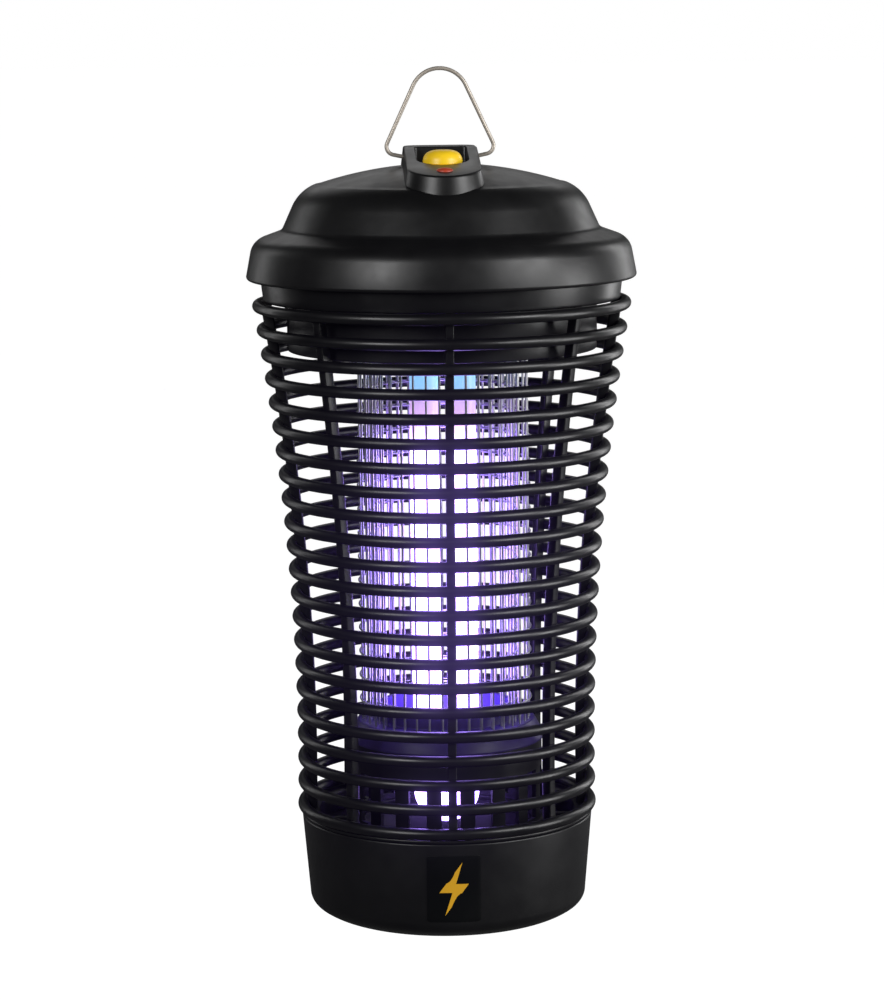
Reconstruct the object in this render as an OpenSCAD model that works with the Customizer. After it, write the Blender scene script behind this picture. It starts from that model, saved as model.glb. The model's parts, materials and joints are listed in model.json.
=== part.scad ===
// Electric bug zapper: a hanging lantern with a lamp inside two charged grids.
// Millimetres, +Z up, front towards -Y, origin in the middle of the underside.

/* [Cage] */
// Number of cage rings
ring_count = 22; // [20:1:22]
// Distance from one ring to the next
ring_pitch = 14.6; // [14:0.1:14.8]
// Thickness of a cage ring
ring_d = 6.8; // [5.6:0.1:7.4]
// Outer radius of the cage at its waist
waist_r = 91.2; // [90.6:0.1:91.4]
// Which ring is the waist, counted from the top
waist_ring = 18.5; // [17.5:0.5:19]
// Growth of the radius with the square of the rings above the waist
flare = 0.067; // [0.06:0.001:0.068]
// Number of upright ribs
rib_count = 8; // [8:4:12]
// Width of a rib
rib_w = 5; // [4:0.5:6]
// Depth of a rib behind the rings
rib_depth = 5; // [4:0.5:6]

/* [Tray] */
// Height of the collection tray
tray_h = 61.5; // [60:0.5:61.5]
// Radius of the tray at its rim
tray_rim_r = 88.9; // [88.6:0.1:89.2]
// Wall of the tray
tray_wall = 2.6; // [2.4:0.1:2.8]

/* [Cover] */
// Height of the crown of the top cover
crown_z = 458; // [458:0.5:460]
// Radius of the brim
brim_r = 117.4; // [117:0.1:118]
// Wall of the top cover
cover_wall = 2.6; // [2.2:0.1:3]

/* [Hanger] */
// Width of the hanger wire bail, outside
bail_w = 66.5; // [64:0.5:68]
// Height of the top of the bail
bail_top_z = 515.6; // [512:0.1:518]
// Thickness of the bail wire
bail_d = 2.4; // [2:0.1:2.6]

/* [Lamp and grids] */
// Diameter of the lamp tube
tube_d = 17.5; // [16:0.5:18]
// Distance between the two legs of the lamp
leg_gap = 22.5; // [20:0.5:24]
// Radius of the outer grid
outer_grid_r = 51; // [50.5:0.1:51.5]
// Radius of the inner grid
inner_grid_r = 45.5; // [45.3:0.1:45.7]
// Wires in the outer grid
outer_wires = 40; // [32:4:48]
// Wires in the inner grid
inner_wires = 36; // [28:4:40]

/* [Power button] */
// Travel of the button
button_travel = 2; // [1.5:0.1:2]
// Diameter of the button's flange
button_d = 24.5; // [23:0.5:26]

/* [Hidden] */
$fn = 96;
eps = 0.01;

top_ring_z = 374;
rib_gap = 0.1;          // room round each ring in its notch
collar_z = 377;         // underside of the collar
collar_top_z = 392;
collar_r = 107.4;
flange_r = 93.8;          // inner edge of the collar's flange
flange_t = 3;
plate_z = collar_z + flange_t;
plate_top_z = plate_z + 3;
plate_r = 104.2;
drum_r = 65;
shroud_r = 93.4;        // wall that hangs round the drum and hides it
shroud_z = 347;
drum_z = 359;           // underside of the drum
drum_wall = 2.5;
insulator_z = 342;      // underside of the upper insulator
shelf_z = 120;          // top of the lower insulator's shelf
skirt_r = 58.5;
skirt_top_z = 108;
skirt_z = 58;
skirt_wall = 2.5;
slot_count = 18;
slot_w = 11.4;
foot_z = 50;            // lower edge of the foot that the tray slides onto
foot_r = 86;
foot_top_z = 63.8;
foot_inner_r = 78;
tray_fit = 0.3;         // room between tray and foot
tray_corner = 9;        // radius where the wall starts to turn in
tray_belly = 30;        // larger radius under it, down to the flat
tray_turn = 55;         // angle at which one passes into the other
tray_base_r = 84.85;    // outer radius just above the rounded corner

crown_r = 240;          // crown of the cover is part of a ball of this radius
shoulder_r = 25;
shoulder_c = [66.45, crown_z - 35.1];
cove_r = 5;
cove_c = [99.3, crown_z - 34.9];
brim_round = 12;
brim_c = [brim_r - 14.5, crown_z - 54.3];
brim_z = 389.6;
edge_r = 2.2;
post_r = 98;            // radius on which the cover's screw posts stand
post_angles = [22.5, 112.5, 202.5, 292.5];
screw_r = 2;

boss_w = 44;
boss_front = -80;
boss_back = 24;
boss_top_z = 468;
boss_slope = 10.6;      // fall of the boss top towards the front, in degrees
boss_flat_y = -5;       // the slope starts here
boss_wall = 2.8;
recess_w = 31;
recess_back = -2;
button_y = -35;
recess_z = 456;
neck_r = 17.4;
well_r = 13.6;
well_z = 449.5;         // floor under the button's spring
stem_r = 4;
button_z = 458;         // underside of the button's flange
lens_y = -64;
lens_r = 4.6;
pivot_z = 462.3;
pivot_play = 0.05;
gland_z = 429;
gland_r = 6;
cord_hole_r = 3.6;

grid_wire_r = 0.6;
hoop_gap = 0.02;
groove_depth = 5;
lamp_top_z = 333;
lamp_bottom_z = 54;
glass_t = 1;
lamp_base_top = 347;

ballast_y = 46;
board_y = -52;
board_z = 392;

// Points along an arc round c, from angle a0 to angle a1
function arc(c, r, a0, a1, n = 12) =
    [for (i = [0:n]) c + r * [cos(a0 + (a1 - a0) * i / n), sin(a0 + (a1 - a0) * i / n)]];
function reversed(p) = [for (i = [len(p) - 1:-1:0]) p[i]];
// Outer radius and height of ring i
function ring_r(i) = waist_r + flare * pow(waist_ring - i, 2);
function ring_z(i) = top_ring_z - ring_pitch * i;

// Places children n times round the axis
module around(n, offset = 0) {
    for (i = [0:n - 1]) rotate(offset + i * 360 / n) children();
}
module torus(r, wire_r, z) {
    translate([0, 0, z]) rotate_extrude() translate([r, 0]) circle(r = wire_r, $fn = 32);
}
// A cylinder along +Z from z0 to z1
module post(r, z0, z1) {
    translate([0, 0, z0]) cylinder(r = r, h = z1 - z0);
}
// A tube swept along a list of points, as one closed surface
function unit(v) = v / norm(v);
function heading(p, i) = unit(p[min(i + 1, len(p) - 1)] - p[max(i - 1, 0)]);
module sweep(p, r, sides = 8, side = undef) {
    n = len(p);
    rings = [for (i = [0:n - 1])
        let (d = heading(p, i), u = is_undef(side) ? unit(cross(d, [0.31, 0.22, 0.92])) : side,
             v = cross(d, u))
        for (k = [0:sides - 1]) p[i] + r * (cos(360 * k / sides) * u + sin(360 * k / sides) * v)];
    walls = [for (i = [0:n - 2]) for (k = [0:sides - 1])
        [(i + 1) * sides + k, (i + 1) * sides + (k + 1) % sides,
         i * sides + (k + 1) % sides, i * sides + k]];
    ends = [[for (k = [0:sides - 1]) k], [for (k = [sides - 1:-1:0]) (n - 1) * sides + k]];
    polyhedron(rings, concat(walls, ends), convexity = 8);
}

// ---- cage ----

module cage_rings() {
    color([0.07, 0.07, 0.075])
    for (i = [0:ring_count - 1]) torus(ring_r(i) - ring_d / 2, ring_d / 2, ring_z(i));
}

// Outer edge of a rib, top to bottom, with a notch for each ring
function rib_outer() = [for (i = [0:ring_count - 1])
    let (r = ring_r(i) - ring_d, h = ring_d / 2 + rib_gap)
    each [[r + 2, ring_z(i) + h], [r - rib_gap, ring_z(i) + h],
          [r - rib_gap, ring_z(i) - h], [r + 2, ring_z(i) - h]]];
function rib_inner() = [for (i = [0:ring_count - 1]) [ring_r(i) - ring_d - rib_depth, ring_z(i)]];

module cage_ribs() {
    top_r = ring_r(0) - ring_d;
    foot = ring_r(ring_count - 1) - ring_d;
    outline = concat(
        [[top_r - rib_depth, collar_z], [top_r - rib_gap, collar_z], [top_r - rib_gap, ring_z(0) + 2]],
        [for (p = rib_outer()) if (p.y < ring_z(0) + 2 && p.y > ring_z(ring_count - 1) - 2) p],
        [[foot - rib_gap, foot_top_z], [foot - rib_depth, foot_top_z]],
        reversed(rib_inner()));
    color([0.07, 0.07, 0.075])
    around(rib_count, -90) rotate([90, 0, 0])
        translate([0, 0, -rib_w / 2]) linear_extrude(rib_w) polygon(outline);
}

module cage_collar() {
    wall = 2.6;
    outline = [
        [flange_r, collar_z], [collar_r, collar_z], [collar_r + 1.4, collar_top_z - 3],
        [collar_r + 1.4, collar_top_z], [collar_r + 1.4 - wall, collar_top_z],
        [collar_r + 0.2 - wall, plate_z], [flange_r, plate_z]];
    color([0.07, 0.07, 0.075])
    difference() {
        rotate_extrude() polygon(outline);
        for (a = post_angles) rotate(a) translate([post_r, 0, 0])
            post(screw_r + 0.3, collar_z - 1, plate_z + 1);
    }
}

// The ring that the ribs stand on, with spokes that carry the lamp skirt
module cage_foot() {
    rim = [
        [foot_inner_r, foot_z + 2], [foot_r - 2.4, foot_z], [foot_r, foot_z + 1],
        [foot_r, tray_h + 0.4], [tray_rim_r, tray_h + 0.4],
        [tray_rim_r, foot_top_z], [foot_inner_r, foot_top_z]];
    hub = [[skirt_r - 6, skirt_z - 3], [skirt_r + 2, skirt_z - 3],
           [skirt_r + 2, skirt_z], [skirt_r - 6, skirt_z]];
    color([0.07, 0.07, 0.075])
    union() {
        rotate_extrude() polygon(rim);
        rotate_extrude() polygon(hub);
        around(rib_count, -90) translate([skirt_r, -2, skirt_z - 3])
            cube([foot_inner_r + 2 - skirt_r, 4, 3]);
    }
}

// ---- tray ----

// Height of the centre of the wall's corner, and centre of the arc under it
tray_corner_z = tray_belly - (tray_belly - tray_corner) * sin(tray_turn);
tray_belly_r = tray_base_r - tray_corner - (tray_belly - tray_corner) * cos(tray_turn);

// The tray's bottom corner, t inside its outer face, from the flat up to the wall
function tray_bottom(t) = concat(
    arc([tray_belly_r, tray_belly], tray_belly - t, -90, -tray_turn - 5, 6),
    arc([tray_base_r - tray_corner, tray_corner_z], tray_corner - t, -tray_turn, 0, 8));

module collection_tray() {
    inner_corner = reversed(tray_bottom(tray_wall));
    seat_r = foot_r + tray_fit;
    outline = concat(
        [[0, 0]], tray_bottom(0),
        [[tray_rim_r, tray_h - 1.5], [tray_rim_r - 0.8, tray_h], [seat_r, tray_h],
         [seat_r, foot_z - 1], [seat_r - 1.6, foot_z - 3]],
        inner_corner, [[0, tray_wall]]);
    color([0.08, 0.08, 0.085]) rotate_extrude() polygon(outline);
}

// A thin plate that follows the front of the tray
label_w = 32;
label_z = 13;
label_h = 38;
label_t = 0.8;
module front_label() {
    r0 = tray_base_r;
    slope = (tray_rim_r - tray_base_r) / (tray_h - 1.5 - tray_corner_z);
    function wall_r(z) = r0 + slope * (z - tray_corner_z);
    z0 = label_z;
    z1 = label_z + label_h;
    color([0.03, 0.03, 0.03])
    intersection() {
        rotate_extrude() polygon([
            [wall_r(z0), z0], [wall_r(z0) + label_t, z0],
            [wall_r(z1) + label_t, z1], [wall_r(z1), z1]]);
        translate([-label_w / 2, -120, 0]) cube([label_w, 80, 100]);
    }
}

// ---- top cover ----

// Half of the cover's section, drawn t millimetres inside its outer face
function cover_path(t, n = 12) = concat(
    arc([0, crown_z - crown_r], crown_r - t, 90, 90 - 17.9, 10),
    arc(shoulder_c, shoulder_r - t, 68, 24, n),
    arc(cove_c, cove_r + t, 204, 249, 6),
    arc(brim_c, brim_round - t, 69, 13, n));

module cover_solid(t) {
    rotate_extrude() polygon(concat(
        [[0, brim_z]], cover_path(t), [[brim_r - t, brim_z + 4.5], [brim_r - t, brim_z]]));
}

module top_cover() {
    edge = arc([brim_r - edge_r, brim_z + edge_r], edge_r, 0, -90, 6);
    shell = concat(
        cover_path(0), edge,
        [[brim_r - cover_wall, brim_z]], [[brim_r - cover_wall, brim_z + 4.5]],
        reversed(cover_path(cover_wall)));
    color([0.09, 0.09, 0.095])
    difference() {
        union() {
            rotate_extrude() polygon(shell);
            for (a = post_angles) rotate(a) translate([post_r, 0, 0])
                post(5, plate_top_z, crown_z - 43);
            // round pad behind the dome for the cord gland
            translate([0, 86, gland_z]) rotate([-90, 0, 0]) cylinder(r = 9, h = 10);
        }
        for (a = post_angles) rotate(a) translate([post_r, 0, 0])
            post(screw_r + 0.05, plate_top_z - 1, collar_z + 20);
        translate([0, button_y, 0]) post(neck_r + 0.1, crown_z - 30, crown_z + 5);
        translate([0, lens_y, 0]) post(lens_r + 0.6, crown_z - 30, crown_z + 5);
        translate([0, 70, gland_z]) rotate([-90, 0, 0]) cylinder(r = gland_r + 0.05, h = 50);
    }
}

module cover_gasket() {
    color([0.15, 0.15, 0.16])
    rotate_extrude() translate([collar_r + 1.4 - 2, collar_top_z]) square([1.6, 2]);
}

// Screws that hold collar, head plate and cover together
module cover_screws() {
    color([0.6, 0.6, 0.62])
    for (a = post_angles) rotate(a) translate([post_r, 0, 0]) difference() {
        union() {
            post(3.8, collar_z - 2.4, collar_z);
            post(screw_r, collar_z - eps, collar_z + 18);
        }
        for (t = [0, 90]) rotate(t) translate([-2.5, -0.5, collar_z - 3]) cube([5, 1, 1.8]);
    }
}

// ---- switch housing on the cover ----

// Plan of the housing, its wall moved inwards by t
function boss_plan(t) = let (h = boss_w / 2, c = 10) concat(
    arc([0, boss_front + h], h - t, 180, 360, 20),
    arc([h - c, boss_back - c], c - t, 0, 90, 8),
    arc([-h + c, boss_back - c], c - t, 90, 180, 8));
// Plan of the recess round the button, its wall moved outwards by t
function recess_plan(t) = let (h = recess_w / 2) concat(
    arc([0, button_y], h + t, 180, 360, 20), [[h + t, recess_back + t], [-h - t, recess_back + t]]);

// Everything above the sloping top, moved down by t
module above_boss(t) {
    translate([-40, boss_flat_y, boss_top_z - t]) rotate([boss_slope, 0, 0])
        translate([0, -100, 0]) cube([80, 100, 40]);
    translate([-40, boss_flat_y - 8, boss_top_z - t]) cube([80, 60, 40]);
}

module boss_block(t) {
    difference() {
        translate([0, 0, 436]) linear_extrude(40) polygon(boss_plan(t));
        above_boss(t);
        cover_solid(-0.02);
    }
}

module switch_housing() {
    pin_z = pivot_z;
    color([0.06, 0.06, 0.065])
    difference() {
        union() {
            difference() {
                boss_block(0);
                // hollow inside, except round the recess, the lens and the hanger's pivots
                difference() {
                    boss_block(boss_wall);
                    translate([0, 0, 430]) linear_extrude(60) polygon(recess_plan(boss_wall));
                    translate([0, lens_y, 0]) post(lens_r + 2.4, 430, 480);
                    translate([-30, -4, 430]) cube([60, 8, 60]);
                }
            }
            translate([0, button_y, 0]) post(neck_r, well_z - 2.5, recess_z);
            translate([0, button_y, 0]) post(8, well_z - 6.5, well_z - 2);
        }
        translate([0, 0, recess_z]) linear_extrude(40) polygon(recess_plan(0));
        translate([0, button_y, 0]) post(well_r, well_z, recess_z + 1);
        translate([0, button_y, 0]) post(stem_r + 0.05, well_z - 10, well_z + 1);
        translate([0, lens_y, 0]) post(lens_r + 0.05, 430, 480);
        for (s = [-1, 1]) translate([s * (boss_w / 2 - 8), 0, pin_z]) rotate([0, s * 90, 0])
            cylinder(r = bail_d / 2 + pivot_play, h = 12);
    }
}

// Wire bail: a round top, two straight legs, and ends turned in to round pivot pins
module hanger_bail() {
    lean = 25;             // angle of the legs from upright
    top_r = 17.3;
    corner_r = 5;
    dip = 12;              // fall of the turned-in ends
    knee_r = 6;
    pin_in = boss_w / 2 - 6;
    overlap = 0.6;
    top_c = [0, bail_top_z - bail_d / 2 - top_r];
    corner_x = (bail_w - bail_d) / 2 - corner_r;
    // each straight run is a shared tangent of the bends at its ends
    leg_top = top_c + top_r * [cos(lean), sin(lean)];
    leg_run = (corner_x + corner_r * cos(lean) - leg_top.x) / sin(lean);
    corner_c = leg_top + leg_run * [sin(lean), -cos(lean)] - corner_r * [cos(lean), sin(lean)];
    turn_end = corner_c + corner_r * [sin(dip), -cos(dip)];
    in_run = (turn_end.y - pivot_z - knee_r * (1 - cos(dip))) / sin(dip);
    knee_x = turn_end.x - in_run * cos(dip) - knee_r * sin(dip);
    half = concat(
        [[knee_x - overlap, pivot_z]], arc([knee_x, pivot_z + knee_r], knee_r, -90, dip - 90, 3),
        arc(corner_c, corner_r, dip - 90, lean, 8), arc(top_c, top_r, lean, 86, 10));
    path = concat(half, [for (p = reversed(half)) [-p.x, p.y]]);
    color([0.62, 0.6, 0.57]) union() {
        sweep([for (p = path) [p.x, 0, p.y]], bail_d / 2 - 0.02, 12, [0, 1, 0]);
        for (s = [-1, 1]) translate([s * pin_in, 0, pivot_z]) rotate([0, s * 90, 0])
            cylinder(r = bail_d / 2, h = knee_x - pin_in);
    }
}

// ---- button, spring, switch, lens, gland ----

module power_button() {
    r = button_d / 2;
    dome_r = 11;
    dome = arc([dome_r - 7.5, button_z + 2.6], 7.5, 0, 75, 8);
    outline = concat(
        [[0, 441], [stem_r - 0.6, 441], [stem_r, 441.6], [stem_r, button_z],
         [r, button_z], [r, button_z + 1.4], [dome_r, button_z + 1.6]],
        dome, [[0, button_z + 10]]);
    color([0.95, 0.72, 0.05]) translate([0, button_y, 0]) rotate_extrude() polygon(outline);
}

module button_spring() {
    turns = 4;
    coil_r = 6.6;
    wire_r = 0.5;
    length = button_z - well_z - 2 * wire_r - 0.1;
    steps = 20;
    coil = [for (i = [0:turns * steps]) let (a = 360 * i / steps)
        [coil_r * cos(a), coil_r * sin(a), length * i / (turns * steps)]];
    color([0.7, 0.7, 0.72])
    translate([0, button_y, well_z + wire_r + 0.05]) sweep(coil, wire_r, 8);
}

module push_switch() {
    top = well_z - 6.5;
    color([0.12, 0.12, 0.13])
    translate([0, button_y, 0]) difference() {
        translate([-8, -7, top - 16]) cube([16, 14, 16]);
        post(stem_r + 0.5, top - 5, top + 1);
    }
    color([0.75, 0.6, 0.3])
    for (x = [-4, 4]) translate([x - 1, button_y - 0.4, top - 21]) cube([2, 0.8, 5]);
}

module indicator_lens() {
    top = 457.6;
    outline = concat([[0, 447], [lens_r, 447]], arc([0, top - 0.4], lens_r, 0, 90, 10));
    color([0.75, 0.1, 0.04]) translate([0, lens_y, 0]) rotate_extrude()
        polygon([for (p = outline) p.y > top ? [p.x, top + (p.y - top) * 0.62] : p]);
}

module cord_gland() {
    color([0.05, 0.05, 0.05])
    translate([0, 0, gland_z]) rotate([-90, 0, 0]) difference() {
        union() {
            translate([0, 0, 80]) cylinder(r = gland_r, h = 24);
            translate([0, 0, 96]) cylinder(r = 8.5, h = 2.6);
            translate([0, 0, 98.6 - eps]) cylinder(r1 = 7, r2 = 5.6, h = 11);
        }
        translate([0, 0, 75]) cylinder(r = cord_hole_r, h = 40);
    }
}

// ---- head: plate, socket, ballast, circuit ----

module head_plate() {
    outline = [
        [23, drum_z], [drum_r - 2, drum_z], [drum_r, drum_z + 2], [drum_r, plate_z],
        [shroud_r - drum_wall, plate_z], [shroud_r - drum_wall, shroud_z],
        [shroud_r - 0.8, shroud_z], [shroud_r, shroud_z + 0.8], [shroud_r, plate_z],
        [plate_r, plate_z], [plate_r, plate_top_z], [drum_r - drum_wall, plate_top_z],
        [drum_r - drum_wall, drum_z + drum_wall], [23, drum_z + drum_wall]];
    color([0.1, 0.1, 0.11])
    difference() {
        rotate_extrude() polygon(outline);
        for (a = post_angles) rotate(a) translate([post_r, 0, 0])
            post(screw_r + 0.3, plate_z - 1, plate_top_z + 1);
        for (r = [outer_grid_r, inner_grid_r]) rotate(terminal_angle(r)) translate([r, 0, 0])
            post(terminal_r + 0.1, drum_z - 1, drum_z + 5);
    }
}

module lamp_socket() {
    color([0.85, 0.85, 0.82])
    difference() {
        union() {
            post(26, drum_z - 3, drum_z);
            translate([-22, -14, lamp_base_top]) cube([44, 28, drum_z - lamp_base_top - 3 + eps]);
        }
        translate([-10.2, -6.2, lamp_base_top - 1]) cube([20.4, 12.4, 9]);
    }
}

module lamp_base() {
    w = leg_gap + tube_d;
    color([0.9, 0.9, 0.88])
    union() {
        translate([-w / 2, -tube_d / 2, lamp_top_z]) cube([w, tube_d, lamp_base_top - lamp_top_z]);
        translate([-10, -6, lamp_base_top - eps]) cube([20, 12, 7]);
    }
}

// U-shaped tube of radius r, drawn at the lamp's legs
module lamp_u(r, z1) {
    bend_z = lamp_bottom_z + tube_d / 2 + leg_gap / 2;
    for (s = [-1, 1]) translate([s * leg_gap / 2, 0, 0]) post(r, bend_z, z1);
    translate([0, 0, bend_z]) rotate([90, 0, 0]) rotate(180) rotate_extrude(angle = 180)
        translate([leg_gap / 2, 0]) circle(r = r, $fn = 48);
}

module lamp_tube() {
    color([0.92, 0.88, 1])
    difference() {
        lamp_u(tube_d / 2, lamp_top_z);
        lamp_u(tube_d / 2 - glass_t, lamp_top_z + 1);
    }
}

// Section of a groove that takes the ends of one grid's wires
module groove(r, z0, z1) {
    rotate_extrude() translate([r - grid_wire_r - 0.1, z0]) square([2 * grid_wire_r + 0.2, z1 - z0]);
}

module upper_insulator() {
    color([0.13, 0.13, 0.14])
    difference() {
        rotate_extrude() polygon([
            [40, insulator_z], [54.5, insulator_z], [55.5, insulator_z + 1.5],
            [55.5, drum_z], [40, drum_z]]);
        for (r = [outer_grid_r, inner_grid_r]) groove(r, insulator_z - 1, insulator_z + groove_depth);
        for (r = [outer_grid_r, inner_grid_r]) rotate(terminal_angle(r)) translate([r, 0, 0])
            post(terminal_r + 0.1, insulator_z, drum_z + 1);
    }
}

module lower_insulator() {
    collar_in = 39;
    outline = [
        [collar_in, shelf_z - 8], [skirt_r - skirt_wall, shelf_z - 8],
        [skirt_r - skirt_wall, skirt_top_z], [60, skirt_top_z], [60, skirt_top_z + 1], [54, shelf_z], [42.8, shelf_z],
        [42.8, shelf_z + 7.6], [42, shelf_z + 8.5], [collar_in, shelf_z + 8.5]];
    color([0.13, 0.13, 0.14])
    difference() {
        rotate_extrude() polygon(outline);
        for (r = [outer_grid_r, inner_grid_r]) groove(r, shelf_z - groove_depth, shelf_z + 1);
    }
}

module lamp_skirt() {
    color([0.08, 0.08, 0.085])
    difference() {
        rotate_extrude() translate([skirt_r - skirt_wall, skirt_z])
            square([skirt_wall, skirt_top_z - skirt_z]);
        around(slot_count / 2, -90) translate([-80, -slot_w / 2, skirt_z + 3])
            cube([160, slot_w, 30]);
    }
}

hoop_count = 15;
hoop_top_z = 337;
function hoop_z(i) = hoop_top_z - ring_pitch * i;
// Upright wires and level hoops; the hoops stand off to one side of the wires
module grid(r, wires, side) {
    z0 = shelf_z - groove_depth + 0.1;
    z1 = insulator_z + groove_depth - 0.1;
    around(wires, -90 + 180 / wires) translate([r, 0, z0])
        cylinder(r = grid_wire_r, h = z1 - z0, $fn = 16);
    for (i = [0:hoop_count - 1])
        translate([0, 0, hoop_z(i)]) rotate_extrude()
            translate([r + side * (2 * grid_wire_r + hoop_gap), 0]) circle(r = grid_wire_r, $fn = 16);
}
module outer_grid() { color([0.78, 0.78, 0.8]) grid(outer_grid_r, outer_wires, 1); }
module inner_grid() { color([0.78, 0.78, 0.8]) grid(inner_grid_r, inner_wires, -1); }

terminal_r = 0.9;
// Each grid's terminal stands behind, half way between two of its wires
function terminal_angle(r) = r == outer_grid_r ? 90 : 90 + 180 / inner_wires * 2;
module grid_terminals() {
    color([0.8, 0.62, 0.3])
    for (r = [outer_grid_r, inner_grid_r]) rotate(terminal_angle(r)) translate([r, 0, 0])
        post(terminal_r, insulator_z + groove_depth - 3, drum_z + 12);
}

core_w = 56;
core_d = 36;
core_h = 46;
window_w = 10;
window_h = 26;
leg_w = 16;
module ballast_core() {
    color([0.3, 0.3, 0.32])
    translate([0, ballast_y, plate_top_z]) difference() {
        translate([-core_w / 2, -core_d / 2, 0]) cube([core_w, core_d, core_h]);
        for (s = [-1, 1])
            translate([s * (leg_w + window_w) / 2 - window_w / 2, -core_d, (core_h - window_h) / 2])
                cube([window_w, 2 * core_d, window_h]);
    }
}

module ballast_coil() {
    fit = 0.2;
    over = 8;
    w = leg_w + 2 * window_w - 2 * fit;
    color([0.55, 0.3, 0.12])
    translate([0, ballast_y, plate_top_z + (core_h - window_h) / 2 + fit]) difference() {
        translate([-w / 2, -core_d / 2 - over, 0]) cube([w, core_d + 2 * over, window_h - 2 * fit]);
        translate([-leg_w / 2 - fit, -core_d / 2 - fit, -1])
            cube([leg_w + 2 * fit, core_d + 2 * fit, window_h + 2]);
    }
}

strap_t = 1.2;
strap_ear = 37;
module ballast_strap() {
    h = core_w / 2;
    t = strap_t;
    outline = [
        [-strap_ear, 0], [-h, 0], [-h, core_h], [h, core_h], [h, 0], [strap_ear, 0],
        [strap_ear, t], [h + t, t], [h + t, core_h + t], [-h - t, core_h + t], [-h - t, t],
        [-strap_ear, t]];
    color([0.65, 0.65, 0.66])
    difference() {
        translate([0, ballast_y + 7, plate_top_z]) rotate([90, 0, 0]) linear_extrude(14) polygon(outline);
        for (s = [-1, 1]) translate([s * (strap_ear - 4.5), ballast_y, 0])
            post(1.8, plate_top_z - 1, plate_top_z + 3);
    }
}

module strap_screws() {
    z = plate_top_z + strap_t;
    color([0.6, 0.6, 0.62])
    for (s = [-1, 1]) translate([s * (strap_ear - 4.5), ballast_y, 0]) union() {
        post(1.5, plate_top_z, z + eps);
        post(3, z, z + 2);
    }
}

starter_at = [-62, 6];
module starter_holder() {
    color([0.85, 0.85, 0.82])
    translate(starter_at) difference() {
        translate([-13, -13, plate_top_z]) cube([22, 26, 10]);
        post(8.7, plate_top_z + 4, plate_top_z + 20);
    }
}
module lamp_starter() {
    color([0.8, 0.8, 0.78])
    translate(starter_at) post(8.6, plate_top_z + 4, plate_top_z + 34);
}

board_w = 64;
board_d = 34;
module circuit_board() {
    color([0.1, 0.35, 0.15])
    translate([-board_w / 2, board_y - board_d / 2, board_z]) cube([board_w, board_d, 1.6]);
}
module board_standoffs() {
    color([0.8, 0.8, 0.8])
    for (x = [-1, 1], y = [-1, 1])
        translate([x * (board_w / 2 - 4), board_y + y * (board_d / 2 - 4), 0])
            post(2.5, plate_top_z, board_z);
}
module board_capacitors() {
    z = board_z + 1.6;
    color([0.15, 0.25, 0.6])
    for (x = [-20, -6, 8]) translate([x, board_y - 6, 0]) post(5, z, z + 17);
    color([0.8, 0.7, 0.5])
    for (x = [-24, -14, -4, 6]) translate([x, board_y + 9, z]) cube([7, 3.4, 4]);
}

// Leads inside the head, each drawn through a few points
module wiring() {
    mains = [[0, 76, gland_z], [0, 72, gland_z - 2], [-22, 60, gland_z + 10], [-40, 30, gland_z + 10],
             [-40, 0, gland_z], [-26, -24, gland_z - 6], [-8, -34, 421.6]];
    high = [[0, outer_grid_r + 2.5, drum_z + 10], [-16, 56, drum_z + 14], [-40, 24, 388],
            [-40, 0, 395], [-36, -30, 398], [-30, -40, board_z + 4]];
    lamp = [[24, 4, drum_z + 5], [26, 6, 372], [44, 12, 388], [44, 26, 396], [34, 38, 402]];
    color([0.8, 0.8, 0.8]) sweep(mains, 1.4);
    color([0.7, 0.1, 0.1]) sweep(high, 1);
    color([0.8, 0.8, 0.8]) sweep(lamp, 1);
}

cage_rings();
cage_ribs();
cage_collar();
cage_foot();
collection_tray();
front_label();
top_cover();
cover_gasket();
cover_screws();
switch_housing();
hanger_bail();
power_button();
button_spring();
push_switch();
indicator_lens();
cord_gland();
head_plate();
lamp_socket();
lamp_base();
lamp_tube();
upper_insulator();
lower_insulator();
lamp_skirt();
outer_grid();
inner_grid();
grid_terminals();
ballast_core();
ballast_coil();
ballast_strap();
strap_screws();
lamp_starter();
starter_holder();
circuit_board();
board_standoffs();
board_capacitors();
wiring();
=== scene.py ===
"""Looks of an electric bug zapper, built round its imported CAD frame.

Lengths are written in millimetres, and MM turns them into metres.
"""
import bpy
import json
import math
from mathutils import Matrix, Vector


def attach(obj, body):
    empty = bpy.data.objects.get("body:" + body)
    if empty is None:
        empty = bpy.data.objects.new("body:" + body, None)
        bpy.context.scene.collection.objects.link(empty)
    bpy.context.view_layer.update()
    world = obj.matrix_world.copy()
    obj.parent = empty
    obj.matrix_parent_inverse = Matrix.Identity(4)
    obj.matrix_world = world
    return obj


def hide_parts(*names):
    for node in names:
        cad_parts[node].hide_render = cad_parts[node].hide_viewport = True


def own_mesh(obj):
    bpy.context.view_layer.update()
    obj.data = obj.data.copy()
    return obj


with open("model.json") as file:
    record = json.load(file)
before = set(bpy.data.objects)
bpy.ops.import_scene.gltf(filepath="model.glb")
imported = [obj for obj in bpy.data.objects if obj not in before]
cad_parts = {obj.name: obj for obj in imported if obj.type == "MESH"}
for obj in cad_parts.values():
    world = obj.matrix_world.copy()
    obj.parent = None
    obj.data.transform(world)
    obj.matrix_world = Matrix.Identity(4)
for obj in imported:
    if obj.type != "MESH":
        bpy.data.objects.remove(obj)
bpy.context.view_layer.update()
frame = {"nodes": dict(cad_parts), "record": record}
MM = 0.001

# ---- dimensions, as in the CAD ----

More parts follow.
